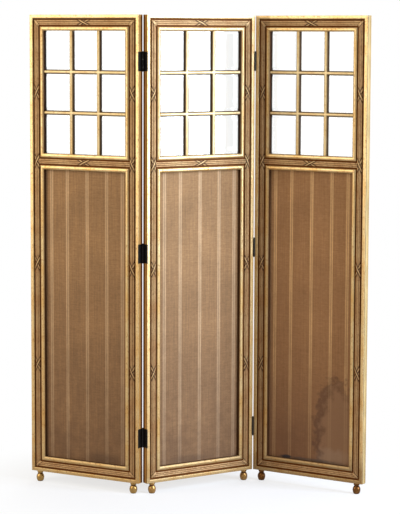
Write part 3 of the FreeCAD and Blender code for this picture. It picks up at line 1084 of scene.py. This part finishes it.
@dataclass
class CarvedReeding(SubAssembly):
    """Bundles of three reeds, tied by crossed ribbons."""

    gilding: Finish
    seed_step: int = 20
    columns: int = 31
    row_step: float = 18.0
    least_step: float = 0.3
    tie_step: float = 0.7
    crest: float = 1.05
    side_crest: float = 2.24
    valley: float = 4.0
    valley_hollow: float = 0.55
    valley_power: float = 1.3
    side: float = 4.62
    tie_length: float = 46.0
    crossed: Ribbon = Ribbon(4.5, 0.8, 12.0)
    corner: Ribbon = Ribbon(6.0, 0.3, 3.0)
    corner_rows: float = 2.4
    ribbon_side: float = 3.22
    ribbon_edge: float = 0.7
    ribbon_crown: float = 0.5
    ribbon_dip: float = 0.6
    dip_reach: float = 4.5
    edge_glaze: float = 0.3
    edge_power: int = 4
    shade_depth: float = 1.3
    wander: float = 0.09
    lower_ties: Pair = (1 / 3, 2 / 3)
    upper_tie: float = 0.5
    sharp: float = 60.0

    def reeds(self, across: np.ndarray) -> tuple[np.ndarray, np.ndarray]:
        """Shape the plain reeds.

        Args:
            across: places across the reeds.

        Returns:
            Depth and hollow at each place.
        """
        third = SIZES.reed / 3
        arcs = [((0, self.side), (third / 2, self.side_crest), (third, self.valley)),
                ((third, self.valley), (1.5 * third, self.crest), (2 * third, self.valley)),
                ((2 * third, self.valley), (2.5 * third, self.side_crest), (3 * third, self.side))]
        which = np.clip((across / third).astype(int), 0, 2)
        deep = np.choose(which, [arc_depth(across, *arc) for arc in arcs])
        crests = np.choose(which, [self.side_crest, self.crest, self.side_crest])
        sunk = ((deep - crests) / (self.valley - self.side_crest)) ** self.valley_power
        return deep, self.valley_hollow * sunk

    def lay_ribbon(self, surface: list[np.ndarray], cover: np.ndarray, off: np.ndarray,
                   kind: Ribbon) -> list[np.ndarray]:
        """Lay one ribbon over a carved surface.

        Args:
            surface: depth of the surface, how hollow each place is and where ribbons lie.
            cover: depth that the ribbon's middle lies at.
            off: distance from the ribbon's middle line.
            kind: the ribbon's width, tint and shade.

        Returns:
            The new depth, hollow and ribbon.
        """
        deep, hollow, ribbon = surface
        inside, share = off <= kind.half, np.minimum(off / kind.half, 1.0)
        crowned = cover + self.ribbon_crown * share ** 2
        fade = np.clip((off - kind.half) / self.ribbon_edge, 0, 1)
        fade = fade * fade * (3 - 2 * fade)
        raised = np.minimum(deep, crowned * (1 - fade) + deep * fade)
        # Painted shadow: reeds beside a raised ribbon are darkened through the hollow glaze as if
        # the ribbon shaded them
        shadow = np.clip(self.shade_depth - (off - kind.half) / kind.shade, 0, 1)
        shaded = np.where(inside, self.edge_glaze * share ** self.edge_power,
                          np.maximum(hollow, shadow))
        laid = np.where(inside, kind.tint, ribbon * (1 - shadow))
        return [raised, shaded, laid]

    def carve(self, across: np.ndarray, along: np.ndarray, ties: Iterable[float],
              ends: Iterable[Pair]) -> list[np.ndarray]:
        """Carve a length with its ties.

        Args:
            across: places across the reeds.
            along: places along the length.
            ties: middles of the crossed ties.
            ends: mitred ends, each its place and the way the length runs from it.

        Returns:
            Depth, hollow and ribbon at each place.
        """
        surface = [*self.reeds(across), np.zeros_like(across)]
        width = SIZES.reed
        cover = arc_depth(across, (0, self.ribbon_side), (width / 2, 0.0),
                          (width, self.ribbon_side))
        lean = (self.tie_length / 2 - self.crossed.half) * (2 * across / width - 1)
        for tie in ties:
            under = cover + self.ribbon_dip * np.exp(-((along - tie) / self.dip_reach) ** 2)
            surface = self.lay_ribbon(surface, under, np.abs(along - tie + lean), self.crossed)
            surface = self.lay_ribbon(surface, cover, np.abs(along - tie - lean), self.crossed)
        for place, way in ends:
            off = np.maximum((along - place) * way - across, 0.0)
            surface = self.lay_ribbon(surface, cover, off, self.corner)
        return surface

    def add_side(self, carving: Carving, length: Length, ties: Sequence[float] = ()) -> None:
        """Add one carved length to a carving.

        Args:
            carving: carving that takes the length.
            length: the length's place and ends.
            ties: middles of its crossed ties.
        """
        run, reach = length.run, self.tie_length / 2 + self.crossed.shade
        places = [np.linspace(0, run, round(run / self.row_step))]
        places += [np.arange(tie - reach, tie + reach, self.tie_step) for tie in ties]
        if length.mitred:
            corner = np.arange(0, self.corner.half * self.corner_rows, self.tie_step)
            places += [corner, run - corner]
        rows = np.unique(np.round(np.concatenate(places), 3))
        rows = rows[np.concatenate([[True], np.diff(rows) > self.least_step])]
        rows[-1] = run
        across = np.broadcast_to(np.linspace(0, SIZES.reed, self.columns),
                                 (len(rows), self.columns))
        along = length.along(across, rows)
        ends = ((0.0, 1.0), (run, -1.0)) if length.mitred else ()
        deep, hollow, ribbon = self.carve(across, along, ties, ends)
        seed = self.seed_step * self.fold.seed + length.number
        deep = deep + hand_wander(rows, seed, self.wander)[:, None]
        front = np.stack([across, deep], axis=-1)
        base = np.broadcast_to([(SIZES.reed, SIZES.relief), (0, SIZES.relief)], (len(rows), 2, 2))
        section = np.concatenate([front, base], axis=1)
        hollow = np.concatenate([hollow, np.ones((len(rows), 2))], axis=1)
        ribbon = np.concatenate([ribbon, np.zeros((len(rows), 2))], axis=1)
        carving.add_loft(length.grid(section, rows), hollow, ribbon)

    def build(self) -> None:
        """Carve the stiles' and rails' lengths and give them their worn gilding."""
        carving = Carving()
        low, high = limits = SIZES.foot_height + SIZES.reed_inset, SIZES.top - SIZES.reed_inset
        half = SIZES.width / 2 - SIZES.reed_inset
        middle = SIZES.mid_rail - low
        bottom, top = SIZES.reed / 2, high - low - SIZES.reed / 2
        ties = [middle, middle + self.upper_tie * (top - middle)]
        ties += [bottom + share * (middle - bottom) for share in self.lower_ties]
        for side in (Side.LEFT, Side.RIGHT):
            self.add_side(carving, Length(side, half, limits), ties)
        self.add_side(carving, Length(Side.BOTTOM, half, limits))
        self.add_side(carving, Length(Side.TOP, half, limits), [half])
        inner, base = half - SIZES.reed, SIZES.mid_rail - SIZES.reed / 2
        rail = Length(Side.BOTTOM, inner, (base, base + SIZES.reed), mitred=False)
        self.add_side(carving, rail, [inner])
        piece = carving.piece(self.fold.node("reeding_carved"), self.fold, self.sharp)
        self.dress(piece, self.gilding, "reeding", "gilt_worn")


@dataclass
class GlazingGrid(SubAssembly):
    """Glazing bars with rounded fronts, mitred where they meet, and stems between the panes."""

    gilding: Finish
    count: int = 2
    half: float = 7.8
    stem: float = 2.5
    front: float = 8.0
    shoulder: float = 12.6
    back: float = 27.0
    head_points: int = 17
    rows: int = 9
    # Glaze left on an upright's flanks; on a crossbar it starts nearer the crest and is partly
    # painted shade of the flanks that face up and down: its start and reach
    upright_glaze: Pair = (0.5, 0.35)
    crossbar_glaze_and_shade: Pair = (0.28, 0.45)
    wander: float = 0.06

    def head(self) -> np.ndarray:
        """Draw the section of a bar's head.

        Returns:
            Ring of the section, across and deep.
        """
        across = np.linspace(-self.half, self.half, self.head_points)
        deep = arc_depth(across, (-self.half, self.shoulder), (0, self.front),
                         (self.half, self.shoulder))
        rim = [(self.half, SIZES.rebate_y), (-self.half, SIZES.rebate_y)]
        return np.concatenate([np.stack([across, deep], axis=-1), rim])

    def add_bar(self, carving: Carving, ring: np.ndarray, stretch: Pair,
                pointed: tuple[bool, bool], line: float, upright: bool) -> None:
        """Add one stretch of bar between two meetings.

        Args:
            carving: carving that takes the stretch.
            ring: ring of the section, across and deep.
            stretch: start and end along the bar.
            pointed: whether each end comes to a mitred point.
            line: place of the bar's middle line.
            upright: whether the bar stands or lies.
        """
        lean = np.abs(ring[:, 0])[None, :]
        start = stretch[0] + lean * pointed[0]
        end = stretch[1] - lean * pointed[1]
        along = start + (end - start) * np.linspace(0, 1, self.rows)[:, None]
        across = np.broadcast_to(ring[:, 0], along.shape) + line
        deep = np.broadcast_to(ring[:, 1], along.shape).copy()
        proud = ring[:, 1] < SIZES.rebate_y
        deep[:, proud] += hand_wander(along, self.fold.seed, self.wander)[:, proud]
        sunk = np.clip((deep - self.shoulder) / (SIZES.rebate_y - self.shoulder), 0, 1)
        glaze_from, glaze_reach = self.upright_glaze if upright else self.crossbar_glaze_and_shade
        # On a crossbar this flank glaze is partly painted shade
        rim = np.clip((lean / self.half - glaze_from) / glaze_reach, 0, 1)
        places = (across, deep, along) if upright else (along, deep, across)
        carving.add_loft(np.stack(places, axis=-1), np.maximum(sunk, rim))

    def build(self) -> None:
        """Shape the grid and gild its fronts."""
        carving = Carving()
        low, high = SIZES.upper
        half, lap = SIZES.opening / 2, SIZES.rebate_width
        parts = [(i + 1) / (self.count + 1) for i in range(self.count)]
        xs = [-half + share * SIZES.opening for share in parts]
        zs = [low + share * (high - low) for share in parts]
        stem = np.array([(-self.stem, SIZES.rebate_y), (self.stem, SIZES.rebate_y),
                         (self.stem, self.back), (-self.stem, self.back)])
        for lines, meets, ends, upright in ((xs, zs, (low, high), True),
                                            (zs, xs, (-half, half), False)):
            stops = [ends[0], *meets, ends[1]]
            for line in lines:
                for i, stretch in enumerate(zip(stops, stops[1:])):
                    pointed = (i > 0, i < len(meets))
                    self.add_bar(carving, self.head(), stretch, pointed, line, upright)
                    reach = (stretch[0] - (0 if pointed[0] else lap),
                             stretch[1] + (0 if pointed[1] else lap))
                    self.add_bar(carving, stem, reach, pointed, line, upright)
        piece = carving.piece(self.fold.node("glazing_bars_moulded"), self.fold)
        self.dress(piece, self.gilding, "glazing_bars", "gilt_bright")


@dataclass
class TurnedFeet(SubAssembly):
    """Two turned feet: a neck, a quirk, a round belly and a taper to the sole.

    The profile gives radii by height, and the glaze how hollow the turning is by height.
    """

    gilding: Finish
    segments: int = 56
    profile: tuple[Pair, ...] = (
        (0.0, 8.4), (0.5, 9.3), (1.5, 10.2), (4.0, 11.8), (8.0, 13.2), (12.0, 14.0), (16.0, 14.2),
        (19.5, 13.8), (22.5, 12.9), (25.0, 11.7), (27.0, 10.4), (28.4, 9.2), (29.2, 8.4),
        (29.8, 8.2), (30.4, 8.5), (31.2, 9.6), (32.4, 10.4), (34.2, 10.8), (36.2, 10.8),
        (38.0, 10.5), (39.0, 10.2))
    glaze: tuple[Pair, ...] = ((0.0, 0.9), (3.0, 0.2), (27.0, 0.25), (29.0, 0.9), (30.6, 0.9),
                               (31.6, 0.1), (38.2, 0.1), (39.0, 0.5))
    sharp: float = 65.0

    def build(self) -> None:
        """Turn both feet and gild them."""
        carving = Carving()
        heights, radii = np.array(self.profile).T[..., None]
        angles = np.linspace(0, math.tau, self.segments, endpoint=False)
        shape = len(heights), self.segments
        hollow = np.broadcast_to(np.interp(heights, *np.array(self.glaze).T), shape)
        for side in (-1, 1):
            middle = side * (SIZES.width - SIZES.stile) / 2
            carving.add_loft(np.stack([middle + radii * np.cos(angles),
                                       SIZES.thickness / 2 + radii * np.sin(angles),
                                       np.broadcast_to(heights, shape)], axis=-1), hollow)
        piece = carving.piece(self.fold.node("feet_turned"), self.fold, self.sharp)
        self.dress(piece, self.gilding, "feet", "gilt_worn")


@dataclass
class ClothPanel(SubAssembly):
    """The striped cloth on its strainer and the lining behind it."""

    cloth: Finish
    lining: Finish
    cloth_front: float = 17.0
    cloth_thick: float = 0.8
    lining_front: float = 25.8
    lining_thick: float = 0.6
    step: float = 9.0
    slack: float = 0.16
    hold: tuple[int, int] = (8, 30)
    broad_wave: Pair = (47.0, 118.0)
    fine_wave: Pair = (23.0, 210.0)
    fine_share: float = 0.6

    def waver(self, x: np.ndarray, z: np.ndarray) -> np.ndarray:
        """Slight waves of stretched cloth, as a share of its slack."""
        broad = np.sin(x / self.broad_wave[0] + self.fold.seed) * np.sin(z / self.broad_wave[1])
        return broad + self.fine_share * np.sin(x / self.fine_wave[0] + z / self.fine_wave[1])

    def sheet(self, name: str, front: float, thick: float, slack: float) -> bpy.types.Object:
        """Make one stretched sheet as a thin closed cloth.

        Args:
            name: name of the piece.
            front: depth of its front.
            thick: its thickness.
            slack: how far it wavers between its edges.

        Returns:
            The new sheet.
        """
        half = SIZES.opening / 2 + SIZES.cloth_lap
        low, high = SIZES.lower[0] - SIZES.cloth_lap, SIZES.lower[1] + SIZES.cloth_lap
        x, z = np.meshgrid(np.linspace(-half, half, round(2 * half / self.step)),
                           np.linspace(low, high, round((high - low) / self.step)))
        held_x, held_z = self.hold
        free = (1 - (x / half) ** held_x) * (1 - (2 * (z - low) / (high - low) - 1) ** held_z)
        face = np.stack([x, front + slack + free * slack * self.waver(x, z), z], axis=-1)
        rear = face + np.array([0.0, thick - 2 * slack, 0.0])
        index = np.arange(x.size).reshape(x.shape)
        near = np.stack([index[:-1, :-1], index[:-1, 1:], index[1:, 1:], index[1:, :-1]], axis=-1)
        near = near.reshape(-1, 4)
        rim = np.concatenate([index[0, :-1], index[:-1, -1], index[-1, :0:-1], index[:0:-1, 0]])
        after = np.roll(rim, -1)
        faces = near.tolist() + (near[:, ::-1] + x.size).tolist()
        faces += np.stack([rim, rim + x.size, after + x.size, after], axis=-1).tolist()
        flat = np.zeros(2 * x.size)
        cloth = Carving([np.concatenate([face.reshape(-1, 3), rear.reshape(-1, 3)])], [flat],
                        [flat], faces, 2 * x.size)
        piece = cloth.piece(self.fold.node(name), self.fold)
        self.fold.node("strainer")
        return piece

    def build(self) -> None:
        """Stretch the cloth and its lining and dress them."""
        cloth = self.sheet("fabric_cloth", self.cloth_front, self.cloth_thick, self.slack)
        self.dress(cloth, self.cloth, "fabric", "striped_fabric")
        lining = self.sheet("lining_cloth", self.lining_front, self.lining_thick, self.slack / 2)
        self.dress(lining, self.lining, "lining", "lining_fabric")


@dataclass
class PlainPieces:
    """Nodes whose solids show as they are, each with a finish of its own."""

    fold: Fold
    finishes: dict[str, Finish]

    def build(self) -> None:
        """Give each of the fold's nodes its material."""
        for name, finish in self.finishes.items():
            node = frame["nodes"].get(self.fold.node(name))
            if node is None:
                continue
            material = finish.material(self.fold)
            if not node.material_slots:
                node.data.materials.append(material)
            for slot in node.material_slots:
                slot.material = material
            LOG.info("%s: %s", node.name, material.name)


@dataclass(frozen=True)
class Lamp:
    """A soft lamp: its place and size in metres, its power in watts and its tint."""

    name: str
    place: Triple
    size: Pair
    power: float
    tint: str


@dataclass
class Studio:
    """Pale floor, white surroundings and soft lamps."""

    floor_reach: float = 40.0
    floor_colour: str = "#A8A6A3"
    floor_white: str = "#F4F9FF"
    floor_roughness: float = 0.9
    floor_glow: float = 0.62
    shadow: Pair = (0.42, 1.0)
    ambient: float = 0.42
    ambient_colour: str = "#FFEEDA"
    white: str = "#FFFFFF"
    shine: float = 0.45
    lamps: tuple[Lamp, ...] = (
        Lamp("key", (2.75, -1.5, 1.8), (1.4, 2.9), 188.0, "#DCEAFF"),
        Lamp("window", (-2.75, -1.3, 2.0), (1.6, 2.9), 55.0, "#FFF6E8"),
        Lamp("back_fill", (0.6, 3.2, 2.6), (2.4, 1.6), 40.0, "#FFFFFF"),
    )
    aim: Triple = (0.0, 0.0, 1.05)

    def build(self) -> None:
        """Set up the floor, the surroundings and the lamps."""
        self.build_floor()
        self.build_world()
        for plan in self.lamps:
            lamp = bpy.data.lights.new(plan.name, "AREA")
            lamp.shape, lamp.energy, lamp.color = "RECTANGLE", plan.power, to_linear(plan.tint)[:3]
            lamp.size, lamp.size_y = plan.size
            holder = bpy.data.objects.new(plan.name, lamp)
            holder.location = plan.place
            way = Vector(self.aim) - Vector(plan.place)
            holder.rotation_euler = way.to_track_quat("-Z", "Y").to_euler()
            bpy.context.scene.collection.objects.link(holder)

    def build_floor(self) -> None:
        """Lay a pale floor that keeps the shadow and is white to the eye elsewhere."""
        reach = self.floor_reach
        mesh = bpy.data.meshes.new("floor")
        mesh.from_pydata([(-reach, -reach, 0), (reach, -reach, 0), (reach, reach, 0),
                          (-reach, reach, 0)], [], [(0, 1, 2, 3)])
        floor = bpy.data.objects.new("floor", mesh)
        bpy.context.scene.collection.objects.link(floor)
        material = bpy.data.materials.new("painted_floor")
        material.use_nodes = True
        tree = material.node_tree
        palette, paint = Palette(tree), tree.nodes["Principled BSDF"]
        seen = self.seen_directly(palette)
        pale = palette.mix(seen, self.floor_colour, self.floor_white)
        set_inputs(tree, paint, {"Base Color": pale, "Roughness": self.floor_roughness})
        glow = add_node(tree, "Emission", {"Color": self.white, "Strength": 1.0})
        # The floor is all glow away from the screen and keeps its shadow close to it
        off = palette.length(add_node(tree, "TexCoord").outputs["Object"])
        level = palette.remap(off, self.shadow, (self.floor_glow, 1.0),
                              interpolation_type="SMOOTHSTEP")
        both = add_node(tree, "MixShader", {0: palette.calc("MULTIPLY", seen, level),
                                            1: paint.outputs[0], 2: glow.outputs[0]})
        set_inputs(tree, tree.nodes["Material Output"], {"Surface": both.outputs[0]})
        mesh.materials.append(material)

    def build_world(self) -> None:
        """Surround the screen with even light that is white to the eye."""
        world = bpy.data.worlds.new("studio")
        bpy.context.scene.world = world
        world.use_nodes = True
        palette = Palette(world.node_tree)
        seen = self.seen_directly(palette)
        set_inputs(palette.tree, palette.tree.nodes["Background"], {
            "Strength": palette.remap(seen, to=(self.ambient, 1.0)),
            "Color": palette.mix(seen, self.ambient_colour, self.white)})

    def seen_directly(self, palette: Palette) -> Socket:
        """Tell rays from the eye, also by way of glass, from others.

        Args:
            palette: palette of the tree that asks.

        Returns:
            One for rays from the eye, less for those by way of a shine, else zero.
        """
        path = add_node(palette.tree, "LightPath")
        shine = palette.calc("MULTIPLY_ADD", path.outputs["Is Glossy Ray"], self.shine,
                             path.outputs["Is Transmission Ray"])
        return palette.calc("MAXIMUM", path.outputs["Is Camera Ray"], shine)


@dataclass
class ViewCamera:
    """Camera at the photograph's place, for an image of 400 by 514 pixels."""

    place: Triple = (-0.1302, -7.1618, 1.6332)
    yaw: float = 1.123
    pitch: float = 6.312
    roll: float = 0.217
    focal_pixels: float = 2005.4
    long_side: float = 514.0
    sensor: float = 36.0

    def build(self) -> None:
        """Place the camera and make it the scene's own."""
        data = bpy.data.cameras.new("camera")
        data.sensor_width = self.sensor
        data.lens = self.focal_pixels * self.sensor / self.long_side
        camera = bpy.data.objects.new("camera", data)
        turn = (Matrix.Rotation(-math.radians(self.yaw), 4, "Z")
                @ Matrix.Rotation(math.radians(90 - self.pitch), 4, "X")
                @ Matrix.Rotation(math.radians(self.roll), 4, "Z"))
        camera.matrix_world = Matrix.Translation(self.place) @ turn
        bpy.context.scene.collection.objects.link(camera)
        bpy.context.scene.camera = camera


BRIGHT_GILDING = WaterGilding("water_gilding_burnished")
WORN_GILDING = WaterGilding("water_gilding_worn", leaf="#BF9D6E", warm="#AA7F52", bole="#906A48",
                            glaze="#40210A", worn=0.5, sill_darkening=(0.0, 0.0, 0.12), dirt=0.4,
                            glazed=(0.3, 1.0), metallic=0.4, leaf_roughness=0.42)
BAR_GILDING = WaterGilding("water_gilding_bars", leaf="#DEC99A", warm="#D2AE74", bole="#A87844",
                           glaze="#563C1E", glazed=(0.15, 0.95), metallic=0.6,
                           leaf_roughness=0.48)
# Painted light and shade: the left fold's feet are lighter and the right fold's feet darker
FOOT_LIT_AND_SHADED_TONES: dict[FoldName, tuple[str, str]] = {
    FoldName.LEFT: ("#C4A060", "#92703C"), FoldName.CENTRE: ("#BC9458", "#8E6838"),
    FoldName.RIGHT: ("#7C5226", "#5C3A18")}
FRAME_UPRIGHT = TonedFrame("toned_beech_upright")
FRAME_ACROSS = TonedFrame("toned_beech_across", Grain.ACROSS)
IRON = JapannedIron("japanned_iron")
STEEL = JapannedIron("blackened_steel", "#1E1B18", "#5A4B3C", 0.36)
PLAIN_FINISHES: dict[str, Finish] = {
    **dict.fromkeys(("stile_left", "stile_right"), FRAME_UPRIGHT),
    **dict.fromkeys(("top_rail", "mid_rail", "bottom_rail"), FRAME_ACROSS),
    "glazing_stops": PlanedWood("stained_beech", "#3C291A", "#241811", 0.55),
    "strainer": PlanedWood("planed_pine"),
    "glass_panes": PolishedGlass("bevelled_glass"),
    **dict.fromkeys(("hinge_leaves", "ridge_leaves", "valley_leaves"), IRON),
    **dict.fromkeys(("hinge_screws", "ridge_screws", "ridge_pins", "valley_screws",
                     "valley_pins"), STEEL),
}


def foot_gilding(fold: Fold) -> WaterGilding:
    """Choose the gilding of a fold's feet, painted lighter or darker fold by fold as light and
    shade.
    """
    leaf, warm = FOOT_LIT_AND_SHADED_TONES[fold.name]
    return WaterGilding("water_gilding_feet", leaf=leaf, warm=warm, sill_darkening=(0.0, 0.0, 0.0),
                        dirt=0.0, metallic=0.75, leaf_roughness=0.26)


def main() -> None:
    """Build and dress the screen, then its studio and camera."""
    logging.basicConfig(level=logging.INFO, format="%(name)s %(message)s")
    bpy.context.scene.view_settings.view_transform = "Standard"
    for fold in stand_folds():
        MouldedEdges(fold, BRIGHT_GILDING).build()
        CarvedReeding(fold, WORN_GILDING).build()
        GlazingGrid(fold, BAR_GILDING).build()
        TurnedFeet(fold, foot_gilding(fold)).build()
        ClothPanel(fold, StripedRep("striped_rep"), PlainLining("cotton_lining")).build()
        PlainPieces(fold, PLAIN_FINISHES).build()
    Studio().build()
    ViewCamera().build()


if __name__ == "__main__":
    main()
